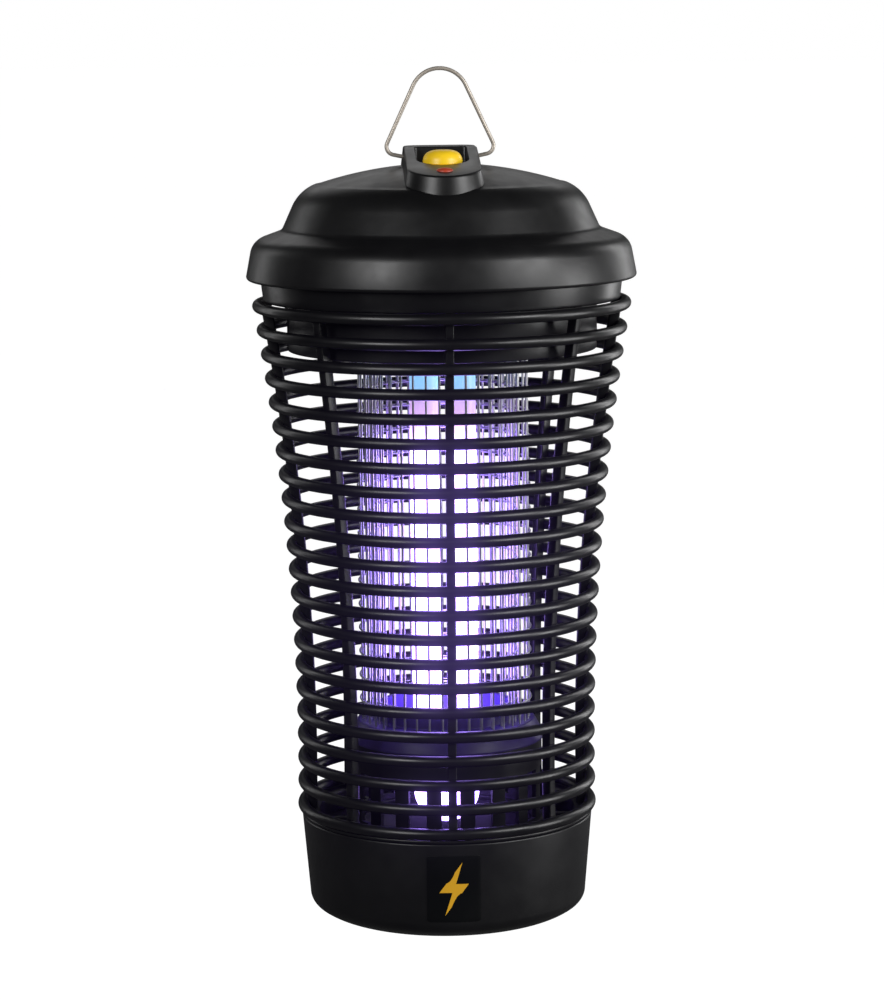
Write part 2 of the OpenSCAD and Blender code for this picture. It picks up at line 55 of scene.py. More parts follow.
# cage: rings, ribs, collar and foot
RING_COUNT = 22
RING_PITCH = 14.6
RING_R = 3.4
TOP_RING_Z = 374.0
WAIST_R = 91.2
WAIST_RING = 18.5
FLARE = 0.067
RIB_COUNT = 8
RIB_W = 5.0
RIB_DEPTH = 5.0
RIB_BITE = 1.6
COLLAR_Z = 377.0
COLLAR_TOP_Z = 392.0
COLLAR_R = 107.4
FLANGE_R = 93.8
FOOT_TOP_Z = 63.8

# tray
TRAY_H = 61.5
TRAY_RIM_R = 88.9
TRAY_BASE_R = 84.85
TRAY_CORNER = 9.0
TRAY_BELLY = 30.0
TRAY_TURN = 55.0
TRAY_WALL = 2.6
TRAY_SEAT_R = 86.3

# cover
CROWN_Z = 458.0
CROWN_R = 240.0
SHOULDER_ROUND = 25
VALLEY_ROUND = 5
BRIM_R = 117.4
BRIM_Z = 389.6
BRIM_ROUND = 12
COVER_WALL = 2.6

# switch housing, button, spring and lens
BOSS_W = 44.0
BOSS_FRONT = -80.0
BOSS_BACK = 24.0
BOSS_TOP_Z = 468.0
BOSS_SLOPE = math.radians(10.6)
BOSS_FLAT_Y = -5.0
RECESS_W = 31.0
RECESS_BACK = -2.0
RECESS_Z = 456.0
BUTTON_Y = -35.0
BUTTON_Z = 458.0
WELL_R = 13.6
WELL_Z = 449.5
STEM_R = 4.0
NECK_R = 17.4
NECK_Z = 452.5
COIL_R = 6.6
COIL_TURNS = 4
COIL_WIRE_R = 0.5
LENS_Y = -65.0
LENS_R = 5.0

# bail
PIVOT_Z = 462.3
BAIL_W = 66.5
BAIL_TOP_Z = 515.6
BAIL_D = 2.4

# lamp
LAMP_R = 8.75
LEG_GAP = 22.5
LAMP_TOP_Z = 333.0
LAMP_BOTTOM_Z = 54.0

# cord gland
GLAND_Z = 429.0

# head plate: its plate, its drum and the wall round the drum
PLATE_R = 104.2
PLATE_Z = 380.0
DRUM_R = 65.0
DRUM_Z = 359.0
SHROUD_R = 93.4
SHROUD_Z = 347.0
HEAD_WALL = 2.5

# insulators and skirt
SHELF_Z = 120.0
SKIRT_R = 58.5
SKIRT_Z = 58.0
SKIRT_TOP_Z = 108.0
SLOT_COUNT = 18
SLOT_W = 11.4
SLOT_Z = (61.0, 91.0)

# top of the foot's spokes
SPOKE_Z = 58.0

# ---- looks ----

# label
LABEL_W = 32.0
LABEL_Z = (13.5, 54.5)
LABEL_LIFT = 0.55

# lit tube, glare and floor
LAMP_POWER = 16.0
TUBE_VIOLET = (0.36, 0.22, 1.0)
TUBE_PINK = ((0.66, 0.36, 0.72), (0.6, 0.38, 0.76))
TUBE_BLUE = ((0.24, 0.62, 0.95), (0.24, 0.68, 0.95))
GLARE_THRESHOLD = 1.6
GLARE_STRENGTH = 0.07
GLARE_SIZE = 0.4
FLOOR_Z = -0.075


def ring_r(i):
    """Outer radius of a ring. Rings widen with the square of their distance from the waist."""
    return WAIST_R + FLARE * (WAIST_RING - i) ** 2


def ring_z(i):
    return TOP_RING_Z - RING_PITCH * i


# ---- mesh helpers ----

def arc(cx, cy, r, a0, a1, n=12):
    """Points on a circle from angle a0 to a1, in degrees."""
    turns = [math.radians(a0 + (a1 - a0) * i / n) for i in range(n + 1)]
    return [(cx + r * math.cos(a), cy + r * math.sin(a)) for a in turns]


def rounded(points, n=5):
    """A closed outline with its corners rounded. Each point is (x, y, radius)."""
    out = []
    count = len(points)
    for k, (x, y, r) in enumerate(points):
        here = Vector((x, y))
        back = (Vector(points[k - 1][:2]) - here).normalized()
        ahead = (Vector(points[(k + 1) % count][:2]) - here).normalized()
        inside = back.angle(ahead)
        if r <= 0 or inside > math.radians(178):
            out.append((x, y))
            continue
        reach = r / math.tan(inside / 2)
        centre = here + (back + ahead).normalized() * (r / math.sin(inside / 2))
        start = here + back * reach - centre
        turn = start.angle_signed(here + ahead * reach - centre)
        for i in range(n + 1):
            a = -turn * i / n
            out.append(tuple(centre + Matrix.Rotation(a, 2) @ start))
    return out


def make(name, verts, faces, smooth=35):
    """A mesh object from points in millimetres, smooth but for edges sharper than the angle."""
    mesh = bpy.data.meshes.new(name)
    mesh.from_pydata([tuple(c * MM for c in v) for v in verts], [], faces)
    mesh.validate()
    mesh.shade_smooth()
    mesh.set_sharp_from_angle(angle=math.radians(smooth))
    obj = bpy.data.objects.new(name, mesh)
    bpy.context.scene.collection.objects.link(obj)
    return obj


def lathe_data(outline, segments=192, closed=True):
    """Points and faces of an outline of (radius, height) turned round the Z axis."""
    verts, faces, rows = [], [], []
    for r, z in outline:
        if r < 1e-6:
            rows.append([len(verts)] * segments)
            verts.append((0, 0, z))
            continue
        rows.append(list(range(len(verts), len(verts) + segments)))
        for s in range(segments):
            a = 2 * math.pi * s / segments
            verts.append((r * math.cos(a), r * math.sin(a), z))
    last = len(rows) if closed else len(rows) - 1
    for k in range(last):
        low, high = rows[k], rows[(k + 1) % len(rows)]
        for s in range(segments):
            t = (s + 1) % segments
            face = [low[s], low[t], high[t], high[s]]
            face = [v for i, v in enumerate(face) if v not in face[:i]]
            if len(face) > 2:
                faces.append(face)
    return verts, faces


def band(low, high, n):
    """Faces between two closed rings of n points, which start at points low and high."""
    return [[low + i, low + (i + 1) % n, high + (i + 1) % n, high + i] for i in range(n)]


def forward(data, shift):
    """Points and faces moved along Y."""
    verts, faces = data
    return [(x, y + shift, z) for x, y, z in verts], faces


def joined(parts):
    """One set of points and faces from several."""
    verts, faces = [], []
    for v, f in parts:
        base = len(verts)
        verts += v
        faces += [[i + base for i in face] for face in f]
    return verts, faces


def sweep_data(path, section, side=None):
    """A closed section of (u, v) points swept along a path, with flat ends.

    Side is the section's fixed u direction, or none for a frame that turns with the path.
    """
    path = [Vector(p) for p in path]
    verts, faces = [], []
    n = len(section)
    u = None
    for i, p in enumerate(path):
        d = (path[min(i + 1, len(path) - 1)] - path[max(i - 1, 0)]).normalized()
        if side is not None:
            u = Vector(side)
        elif u is None:
            u = d.orthogonal().normalized()
        else:
            u = (u - d * u.dot(d)).normalized()
        v = d.cross(u)
        verts += [tuple(p + u * a + v * b) for a, b in section]
    for i in range(len(path) - 1):
        faces += band(i * n, (i + 1) * n, n)
    faces.append(list(range(n - 1, -1, -1)))
    faces.append([(len(path) - 1) * n + k for k in range(n)])
    return verts, faces


def circle(r, n=16):
    return [(r * math.cos(2 * math.pi * k / n), r * math.sin(2 * math.pi * k / n)) for k in range(n)]


def radials(count):
    """The way out and the way across for each of count even turns, the first one in front."""
    for k in range(count):
        a = math.radians(-90 + 360 * k / count)
        out = Vector((math.cos(a), math.sin(a), 0))
        yield out, tuple(out.cross(Vector((0, 0, 1))))


def stands_for(obj, body, slot, *nodes, material=None):
    """The piece takes a material, rides on a body and hides its CAD nodes.

    Its material has the slot's name unless another is given.
    """
    dress(obj, material or slot)
    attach(obj, body)
    if nodes:
        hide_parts(*nodes)
    return obj


# ---- materials ----

def new_material(name):
    """A node material, with its tree and its shader."""
    mat = bpy.data.materials.new(name)
    mat.use_nodes = True
    tree = mat.node_tree
    return mat, tree, tree.nodes["Principled BSDF"]


def noise(tree, scale, detail=4.0, rough=0.55, stretch=(1, 1, 1)):
    """A noise texture in the object's own coordinates, in waves per metre."""
    coords = tree.nodes.new("ShaderNodeTexCoord")
    place = tree.nodes.new("ShaderNodeMapping")
    place.inputs["Scale"].default_value = stretch
    tex = tree.nodes.new("ShaderNodeTexNoise")
    tex.inputs["Scale"].default_value = scale
    tex.inputs["Detail"].default_value = detail
    tex.inputs["Roughness"].default_value = rough
    tree.links.new(coords.outputs["Object"], place.inputs["Vector"])
    tree.links.new(place.outputs["Vector"], tex.inputs["Vector"])
    return tex.outputs["Fac"]


def ramp(tree, fac, stops):
    """A colour ramp with stops of (place, colour)."""
    node = tree.nodes.new("ShaderNodeValToRGB")
    bar = node.color_ramp
    while len(bar.elements) < len(stops):
        bar.elements.new(0.5)
    for element, (place, colour) in zip(bar.elements, stops):
        element.position = place
        element.color = (*colour, 1)
    tree.links.new(fac, node.inputs["Fac"])
    return node.outputs["Color"]


def span(tree, fac, low, high, start=0.3, end=0.7):
    """Maps a noise value onto a range."""
    node = tree.nodes.new("ShaderNodeMapRange")
    node.inputs["From Min"].default_value = start
    node.inputs["From Max"].default_value = end
    node.inputs["To Min"].default_value = low
    node.inputs["To Max"].default_value = high
    tree.links.new(fac, node.inputs["Value"])
    return node.outputs["Result"]


def bump(tree, shader, fac, strength, distance, under=None):
    """A bump on the shader, on top of another one if given."""
    node = tree.nodes.new("ShaderNodeBump")
    node.inputs["Strength"].default_value = strength
    node.inputs["Distance"].default_value = distance
    tree.links.new(fac, node.inputs["Height"])
    if under is not None:
        tree.links.new(under, node.inputs["Normal"])
    tree.links.new(node.outputs["Normal"], shader.inputs["Normal"])
    return node.outputs["Normal"]


def plastic(name, colour, rough=(0.34, 0.42), strength=0.25, specular=0.5, drift=0.35):
    """Moulded plastic: a fine spark-eroded grain, slow changes of gloss, and faint dust."""
    mat, tree, shader = new_material(name)
    slow = noise(tree, 22, 3)
    pale = tuple(min(1, c * (1 + drift) + 0.002) for c in colour)
    tree.links.new(ramp(tree, slow, [(0.35, colour), (0.7, pale)]), shader.inputs["Base Color"])
    tree.links.new(span(tree, noise(tree, 60, 5), *rough), shader.inputs["Roughness"])
    shader.inputs["Specular IOR Level"].default_value = specular
    swell = bump(tree, shader, noise(tree, 40, 2), 0.12, 0.0006)
    bump(tree, shader, noise(tree, 2600, 2), strength, 0.00006, swell)
    return mat


def metal(name, colour, rough=(0.22, 0.36), drawn=(1, 1, 0.02), scale=3000,
          depth=0.15, metallic=1.0):
    """Bright metal with drawing marks along one axis."""
    mat, tree, shader = new_material(name)
    shader.inputs["Metallic"].default_value = metallic
    dark = tuple(c * 0.82 for c in colour)
    shades = ramp(tree, noise(tree, 90, 4), [(0.35, dark), (0.65, colour)])
    tree.links.new(shades, shader.inputs["Base Color"])
    marks = noise(tree, scale, 3, stretch=drawn)
    tree.links.new(span(tree, marks, *rough), shader.inputs["Roughness"])
    bump(tree, shader, marks, depth, 0.00002)
    return mat


def lamp_glow():
    """Lit phosphor glass: cold blue by the electrodes, pink just below them, then violet-white."""
    mat, tree, shader = new_material("lamp_glow")
    coords = tree.nodes.new("ShaderNodeTexCoord")
    parts = tree.nodes.new("ShaderNodeSeparateXYZ")
    tree.links.new(coords.outputs["Object"], parts.inputs["Vector"])
    low, high = LAMP_BOTTOM_Z * MM, LAMP_TOP_Z * MM
    height = span(tree, parts.outputs["Z"], 0, 1, low, high)
    colour = ramp(tree, height, [
        (0.0, TUBE_VIOLET), (0.86, TUBE_VIOLET), (0.89, TUBE_PINK[0]),
        (0.945, TUBE_PINK[1]), (0.965, TUBE_BLUE[0]), (1.0, TUBE_BLUE[1])])
    power = ramp(tree, height, [
        (0.0, (0.9,) * 3), (0.1, (1.0,) * 3), (0.82, (1.0,) * 3), (0.87, (0.2,) * 3),
        (0.9, (0.062,) * 3), (0.95, (0.05,) * 3), (1.0, (0.055,) * 3)])
    tree.links.new(colour, shader.inputs["Emission Color"])
    tree.links.new(span(tree, power, 0, LAMP_POWER, 0, 1), shader.inputs["Emission Strength"])
    glass = ramp(tree, noise(tree, 120, 3), [(0.3, (0.8, 0.8, 0.84)), (0.7, (0.9, 0.9, 0.93))])
    tree.links.new(glass, shader.inputs["Base Color"])
    tree.links.new(span(tree, noise(tree, 50, 2), 0.12, 0.2), shader.inputs["Roughness"])
    return mat


BLACK = (0.0022, 0.0022, 0.0025)
SATIN = (0.0026, 0.0026, 0.0028)
PLASTICS = {
    "cage_plastic": dict(colour=BLACK, rough=(0.3, 0.4), strength=0.18, specular=0.4),
    "cover_plastic": dict(colour=SATIN, rough=(0.34, 0.44), strength=0.3, specular=0.4),
    "tray_plastic": dict(colour=SATIN, rough=(0.34, 0.44), strength=0.3, specular=0.4),
    "housing_plastic": dict(colour=(0.003, 0.003, 0.0032), strength=0.12, specular=0.45),
    "label_film": dict(colour=(0.0008, 0.0012, 0.001), rough=(0.3, 0.36), strength=0.05, specular=0.28),
    "badge_amber": dict(colour=(0.8, 0.42, 0.02), rough=(0.3, 0.4), strength=0.05, drift=0.1),
    "button_plastic": dict(colour=(1.0, 0.63, 0.014), strength=0.06, drift=0.05),
    "lens_plastic": dict(colour=(0.4, 0.04, 0.012), rough=(0.4, 0.5), strength=0.04, drift=0.1),
    "gasket_rubber": dict(colour=(0.012, 0.012, 0.012), rough=(0.6, 0.75), specular=0.3),
    "gland_rubber": dict(colour=(0.01, 0.01, 0.01), rough=(0.5, 0.65), specular=0.35),
    "switch_plastic": dict(colour=(0.02, 0.02, 0.022)),
    "head_plastic": dict(colour=(0.004, 0.004, 0.0045), rough=(0.36, 0.46), specular=0.4),
    # insulator_plastic: its dark violet base colour is painted light, standing in for the lamp's violet
    # light on the lower shelf
    "insulator_plastic": dict(colour=(0.035, 0.022, 0.12), specular=0.3, drift=0.1),
    "socket_plastic": dict(colour=(0.62, 0.6, 0.56), rough=(0.4, 0.5), drift=0.06),
    "lamp_cap": dict(colour=(0.66, 0.66, 0.64), drift=0.05),
    "core_steel": dict(colour=(0.06, 0.06, 0.065), rough=(0.4, 0.55), drift=0.3),
    "coil_copper": dict(colour=(0.35, 0.13, 0.035), rough=(0.3, 0.45), drift=0.3),
    "board_laminate": dict(colour=(0.012, 0.11, 0.03), rough=(0.25, 0.35), drift=0.2),
    "standoff_nylon": dict(colour=(0.7, 0.7, 0.67), rough=(0.4, 0.5), drift=0.05),
    "component_case": dict(colour=(0.02, 0.05, 0.25), rough=(0.25, 0.35), drift=0.2),
    "wire_sleeve": dict(colour=(0.55, 0.55, 0.53), rough=(0.45, 0.55), drift=0.08),
}
METALS = {
    "bail_steel": dict(colour=(0.5, 0.45, 0.39), rough=(0.42, 0.5), drawn=(1, 1, 1), scale=300,
                       depth=0.02, metallic=0.55),
    "spring_steel": dict(colour=(0.6, 0.6, 0.6)),
    "screw_steel": dict(colour=(0.62, 0.62, 0.63)),
    "grid_steel": dict(colour=(0.6, 0.6, 0.64), rough=(0.3, 0.42)),
    "terminal_brass": dict(colour=(0.8, 0.6, 0.28)),
    "strap_steel": dict(colour=(0.6, 0.6, 0.62)),
    "starter_can": dict(colour=(0.78, 0.78, 0.8)),
}
MATERIALS = {name: plastic(name, **facts) for name, facts in PLASTICS.items()}
MATERIALS.update({name: metal(name, **facts) for name, facts in METALS.items()})
MATERIALS["lamp_glass"] = lamp_glow()


def dress(obj, material):
    obj.data.materials.clear()
    obj.data.materials.append(MATERIALS[material])
    return obj


def dress_cad():
    """Gives every CAD node the material of its slot."""
    for part in frame["record"]["subparts"]:
        obj = frame["nodes"][part["node"]]
        material = MATERIALS[part["material_slot"]]
        if not obj.material_slots:
            obj.data.materials.append(material)
        for place in obj.material_slots:
            place.material = material


# ---- the cage ----

def cage_rings():
    parts = []
    for i in range(RING_COUNT):
        section = arc(ring_r(i) - RING_R, ring_z(i), RING_R, 0, 360 - 360 / 24, 23)
        parts.append(lathe_data(section, 224))
    obj = make("ring_set", *joined(parts))
    return stands_for(obj, "body", "cage_plastic", "cage_rings")


def rib_path():
    """Middle of a rib's section, from its foot to its head, as (radius, height)."""
    middle = 2 * RING_R + (RIB_DEPTH - RIB_BITE) / 2
    path = [(ring_r(RING_COUNT - 1) - middle, FOOT_TOP_Z)]
    for k in range(4 * (RING_COUNT - 1), -1, -1):
        i = k / 4
        path.append((ring_r(i) - middle, ring_z(i)))
    path.append((ring_r(0) - middle, COLLAR_Z + 0.2))
    return path


def cage_ribs():
    depth = RIB_DEPTH + RIB_BITE
    section = rounded([(-RIB_W / 2, -depth / 2, 1.1), (RIB_W / 2, -depth / 2, 1.1),
                       (RIB_W / 2, depth / 2, 0.7), (-RIB_W / 2, depth / 2, 0.7)], 4)
    parts = []
    for out, across in radials(RIB_COUNT):
        path = [tuple(out * r + Vector((0, 0, z))) for r, z in rib_path()]
        parts.append(sweep_data(path, section, across))
    obj = make("rib_set", *joined(parts))
    return stands_for(obj, "body", "cage_plastic", "cage_ribs")


def cage_collar():
    top = COLLAR_R + 1.4
    outline = rounded([
        (FLANGE_R, COLLAR_Z, 0.6), (COLLAR_R, COLLAR_Z, 1.0), (top, COLLAR_TOP_Z - 3, 1.5),
        (top, COLLAR_TOP_Z, 0.5), (top - 2.6, COLLAR_TOP_Z, 0.5),
        (COLLAR_R - 2.4, COLLAR_Z + 3, 0.8), (FLANGE_R, COLLAR_Z + 3, 0.6)])
    obj = make("collar_band", *lathe_data(outline, 256))
    return stands_for(obj, "body", "cage_plastic", "cage_collar")


# ---- the tray and its label ----

CORNER_Z = TRAY_BELLY - (TRAY_BELLY - TRAY_CORNER) * math.sin(math.radians(TRAY_TURN))
BELLY_R = TRAY_BASE_R - TRAY_CORNER - (TRAY_BELLY - TRAY_CORNER) * math.cos(math.radians(TRAY_TURN))


def tray_wall_r(z):
    """Outer radius of the tray's straight wall at a height."""
    share = (z - CORNER_Z) / (TRAY_H - 1.5 - CORNER_Z)
    return TRAY_BASE_R + (TRAY_RIM_R - TRAY_BASE_R) * share


def tray_bottom(t):
    """The bottom corner of the tray's section, t inside its outer face."""
    return (arc(BELLY_R, TRAY_BELLY, TRAY_BELLY - t, -90, -TRAY_TURN - 3, 12)
            + arc(TRAY_BASE_R - TRAY_CORNER, CORNER_Z, TRAY_CORNER - t, -TRAY_TURN, 0, 14))


def collection_tray():
    seat = TRAY_SEAT_R
    edge = (arc(TRAY_RIM_R - 1.0, TRAY_H - 1.0, 1.0, 0, 90, 5)
            + arc(seat + 0.5, TRAY_H - 0.5, 0.5, 90, 180, 4))
    hollow = tray_bottom(TRAY_WALL)[::-1]
    step = [(seat, 49), (seat - 1.6, 47)]
    outline = [(0, 0)] + tray_bottom(0) + edge + step + hollow + [(0, TRAY_WALL)]
    obj = make("tray_cup", *lathe_data(outline, 256))
    return stands_for(obj, "tray", "tray_plastic", "collection_tray")


def on_tray(x, z, lift):
    """A point on the front of the tray, x millimetres round from the middle."""
    r = tray_wall_r(z) + lift
    a = x / tray_wall_r(z)
    return (r * math.sin(a), -r * math.cos(a), z)


def wrapped_plate(name, outline, lift, steps=1):
    """A thin plate with a closed outline of (x, z), laid on the tray's front."""
    n = len(outline)
    mid = (sum(p[0] for p in outline) / n, sum(p[1] for p in outline) / n)
    verts, faces = [], []
    inset = 1 - 0.3 / 16
    levels = [(1.0, 0.02), (1.0, lift - 0.15), (inset, lift)]
    shares = [1 - s / steps for s in range(1, steps)] + [0.02]
    levels += [(share * inset, lift) for share in shares]
    for scale, height in levels:
        for x, z in outline:
            near = (mid[0] + (x - mid[0]) * scale, mid[1] + (z - mid[1]) * scale)
            verts.append(on_tray(*near, height))
    for k in range(len(levels) - 1):
        faces += band(k * n, (k + 1) * n, n)
    faces.append([(len(levels) - 1) * n + i for i in range(n)])
    faces.append(list(range(n - 1, -1, -1)))
    return make(name, verts, faces, 30)


def subdivided(outline, step):
    """A closed outline with its long edges cut into parts of about a step."""
    fine = []
    for p, q in zip(outline, outline[1:] + outline[:1]):
        parts = max(1, round(math.dist(p, q) / step))
        fine += [tuple(Vector(p).lerp(Vector(q), s / parts)) for s in range(parts)]
    return fine


def front_label():
    w, (low, high) = LABEL_W / 2, LABEL_Z
    corners = rounded([(-w, low, 1.5), (w, low, 1.5), (w, high, 1.5), (-w, high, 1.5)], 4)
    plate = wrapped_plate("label_plate", subdivided(corners, 2.5), LABEL_LIFT, 8)
    stands_for(plate, "tray", "label_film", "front_label")


def label_bolt():
    """A plain lightning bolt in the middle of the label."""
    outline = [(5.0, 16.5), (-8.6, -2.2), (-0.9, -2.2), (-5.2, -16.5), (8.8, 3.2), (1.2, 3.2)]
    n = len(outline)
    verts = []
    for lift in (LABEL_LIFT - 0.05, LABEL_LIFT + 0.23):
        verts += [on_tray(x, sum(LABEL_Z) / 2 + z, lift) for x, z in outline]
    faces = band(0, n, n)
    faces += [[n, n + 5, n + 2, n + 1], [n + 2, n + 5, n + 4, n + 3], [0, 1, 2, 5], [2, 3, 4, 5]]
    bolt = make("label_bolt", verts, faces, 30)
    stands_for(bolt, "tray", "button_plastic", material="badge_amber")


# ---- the cover ----

def cover_path(t):
    """Half of the cover's section, t millimetres inside its outer face.

    Its arcs are the crown, the shoulder, the valley below it and the brim.
    """
    return (arc(0, CROWN_Z - CROWN_R, CROWN_R - t, 90, 72.1, 24)[1:]
            + arc(66.45, CROWN_Z - 35.1, SHOULDER_ROUND - t, 68, 24, 20)
            + arc(99.3, CROWN_Z - 34.9, VALLEY_ROUND + t, 204, 249, 10)
            + arc(BRIM_R - 14.5, CROWN_Z - 54.3, BRIM_ROUND - t, 69, 13, 18))


def top_cover():
    edge = arc(BRIM_R - 2.2, BRIM_Z + 2.2, 2.2, 0, -90, 10)
    inside = cover_path(COVER_WALL)[::-1]
    outline = ([(0, CROWN_Z)] + cover_path(0) + edge + [(BRIM_R - COVER_WALL, BRIM_Z + 0.3)]
               + [(BRIM_R - COVER_WALL, BRIM_Z + 4.5)] + inside + [(0, CROWN_Z - COVER_WALL)])
    obj = make("cover_shell", *lathe_data(outline, 320))
    cut_hole(obj, NECK_R + 0.1, BUTTON_Y, 440, 470)
    return stands_for(obj, "body", "cover_plastic", "top_cover")


def backwards(data, y=0):
    """A lathed shape laid along Y at the gland's height, from y on."""
    verts, faces = data
    return [(a, y + c, GLAND_Z + b) for a, b, c in verts], [f[::-1] for f in faces]


def gland_pad():
    """The round pad that holds the cord gland at the back of the cover."""
    outline = rounded([(6.2, 0, 0.2), (9, 0, 0.2), (9, 12, 0.8), (6.2, 12, 0.5)], 4)
    pad = make("gland_pad", *backwards(lathe_data(outline, 64), 84.4))
    return stands_for(pad, "body", "cover_plastic")


def cut_hole(obj, r, y, low, high):
    """Cuts a round upright hole, and leaves a plain mesh."""
    rod = lathe_data([(0, low), (r, low), (r, high), (0, high)], 96, False)
    tool = make("hole_cutter", *forward(rod, y))
    cut = obj.modifiers.new("hole", "BOOLEAN")
    cut.operation = "DIFFERENCE"
    cut.solver = "EXACT"
    cut.object = tool
    bpy.context.view_layer.update()
    mesh = bpy.data.meshes.new_from_object(obj.evaluated_get(bpy.context.evaluated_depsgraph_get()))
    obj.modifiers.clear()
    obj.data = mesh
    mesh.shade_smooth()
    mesh.set_sharp_from_angle(angle=math.radians(35))
    bpy.data.objects.remove(tool)


def cover_height(r):
    """Height of the cover's outer face at a radius."""
    path = [(0, CROWN_Z)] + cover_path(0)
    for (r0, z0), (r1, z1) in zip(path, path[1:]):
        if r0 <= r <= r1:
            return z0 + (z1 - z0) * (r - r0) / (r1 - r0)
    return BRIM_Z


# ---- the switch housing ----

def boss_plan(t):
    """Plan of the housing, its wall moved inwards by t."""
    h = BOSS_W / 2
    c = 10
    return (arc(0, BOSS_FRONT + h, h - t, 180, 360, 48) + arc(h - c, BOSS_BACK - c, c - t, 0, 90, 12)
            + arc(-h + c, BOSS_BACK - c, c - t, 90, 180, 12))


def recess_plan(t):
    """Plan of the recess, its wall moved outwards by t."""
    h = RECESS_W / 2
    c = 1.6
    y = RECESS_BACK
    return (arc(0, BUTTON_Y, h + t, 180, 360, 48) + arc(h - c, y - c, c + t, 0, 90, 6)
            + arc(-h + c, y - c, c + t, 90, 180, 6))


def on_ray(plan, centre, angle):
    """Where a ray from the centre leaves a closed plan."""
    dx, dy = math.cos(angle), math.sin(angle)
    best = None
    for (ax, ay), (bx, by) in zip(plan, plan[1:] + plan[:1]):
        ex, ey = bx - ax, by - ay
        det = dx * ey - dy * ex
        if abs(det) < 1e-12:
            continue
        wx, wy = ax - centre[0], ay - centre[1]
        far = (wx * ey - wy * ex) / det
        along = (wx * dy - wy * dx) / det
        if far > 0 and -1e-9 <= along <= 1 + 1e-9 and (best is None or far > best):
            best = far
    return (centre[0] + dx * best, centre[1] + dy * best)


def boss_top(y):
    """Height of the housing's top, flat behind and sloping down to the front."""
    if y > BOSS_FLAT_Y:
        return BOSS_TOP_Z
    return BOSS_TOP_Z - (BOSS_FLAT_Y - y) * math.tan(BOSS_SLOPE)


def housing_outside(level):
    """Levels up the housing's wall and over its rim, down to the recess."""
    outer_round, rim_round, draft = 1.4, 0.9, 1.3

    def ground(x, y):
        return cover_height(math.hypot(x, y)) - 0.4

    level(boss_plan(-draft), ground)
    for share in (0.25, 0.5, 0.75):
        plan = boss_plan(-draft * (1 - share))
        level(plan, lambda x, y: ground(x, y) * (1 - share) + (boss_top(y) - outer_round) * share)
    for k in range(6):
        a = math.radians(90 * k / 5)
        drop = outer_round * (1 - math.sin(a))
        level(boss_plan(outer_round * (1 - math.cos(a))), lambda x, y: boss_top(y) - drop)
    for k in range(5):
        a = math.radians(90 * k / 4)
        drop = rim_round * (1 - math.cos(a))
        level(recess_plan(rim_round * (1 - math.sin(a))), lambda x, y: boss_top(y) - drop)
    level(recess_plan(0), lambda x, y: RECESS_Z + 0.8)
    level(recess_plan(-0.8), lambda x, y: RECESS_Z)


def housing_well(level):
    """Levels down the button's well, through the stem's guide and back out below."""
    under = WELL_Z - 2.5
    guide = WELL_Z - 6.5
    for r, z in [(WELL_R + 0.4, RECESS_Z), (WELL_R, RECESS_Z - 0.4), (WELL_R, WELL_Z),
                 (STEM_R + 0.3, WELL_Z), (STEM_R + 0.05, WELL_Z - 0.3), (STEM_R + 0.05, guide),
                 (8, guide), (8, under), (NECK_R, under), (NECK_R, NECK_Z)]:
        level(arc(0, BUTTON_Y, r, 0, 355, 71), lambda x, y: z)


def switch_housing():
    """Closed levels of points, each on the same rays from one centre, joined into one skin."""
    centre = (0.0, -33.0)
    turns = 320
    angles = [2 * math.pi * k / turns for k in range(turns)]
    levels = []

    def level(plan, height):
        ring = [on_ray(plan, centre, a) for a in angles]
        levels.append([(x, y, height(x, y)) for x, y in ring])

    housing_outside(level)
    housing_well(level)
    verts = [v for ring in levels for v in ring]
    faces = []
    for k in range(len(levels)):
        faces += band(k * turns, (k + 1) % len(levels) * turns, turns)
    obj = make("housing_body", verts, faces, 38)
    return stands_for(obj, "body", "housing_plastic", "switch_housing")


def power_button():
    r, dome, foot = 12.25, 11.7, 441
    turns = [math.radians(4.5 * k) for k in range(20)]
    crown = [(dome * math.cos(a) ** 0.62, BUTTON_Z + 2.4 + 7.1 * math.sin(a) ** 0.92) for a in turns]
    outline = ([(0, foot), (STEM_R - 0.6, foot), (STEM_R, foot + 0.6), (STEM_R, BUTTON_Z)]
               + [(r - 0.3, BUTTON_Z)] + arc(r - 0.7, BUTTON_Z + 0.7, 0.7, -60, 90, 8)
               + [(dome + 0.1, BUTTON_Z + 1.6)] + crown + [(0, BUTTON_Z + 9.5)])
    obj = make("button_cap", *forward(lathe_data(outline, 128), BUTTON_Y), 50)
    return stands_for(obj, "button", "button_plastic", "power_button")


def button_spring():
    """A coil under the button."""
    steps = 32 * COIL_TURNS
    rise = BUTTON_Z - WELL_Z - 2 * COIL_WIRE_R - 0.1
    path = []
    for i in range(steps + 1):
        a = 2 * math.pi * COIL_TURNS * i / steps
        z = WELL_Z + COIL_WIRE_R + 0.05 + rise * i / steps
        path.append((COIL_R * math.cos(a), BUTTON_Y + COIL_R * math.sin(a), z))
    obj = make("spring_coil", *sweep_data(path, circle(COIL_WIRE_R, 12)), 50)
    stands_for(obj, "body", "spring_steel", "button_spring")
    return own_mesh(obj)


def indicator_lens():
    foot, top, rise = 447, 456.4, 2.0
    turns = [math.radians(6 * k) for k in range(15)]
    dome = [(LENS_R * math.cos(a), top + rise * math.sin(a)) for a in turns]
    outline = [(0, foot), (LENS_R, foot)] + dome + [(0, top + rise)]
    obj = make("lens_dome", *forward(lathe_data(outline, 96), LENS_Y), 50)
    return stands_for(obj, "body", "lens_plastic", "indicator_lens")


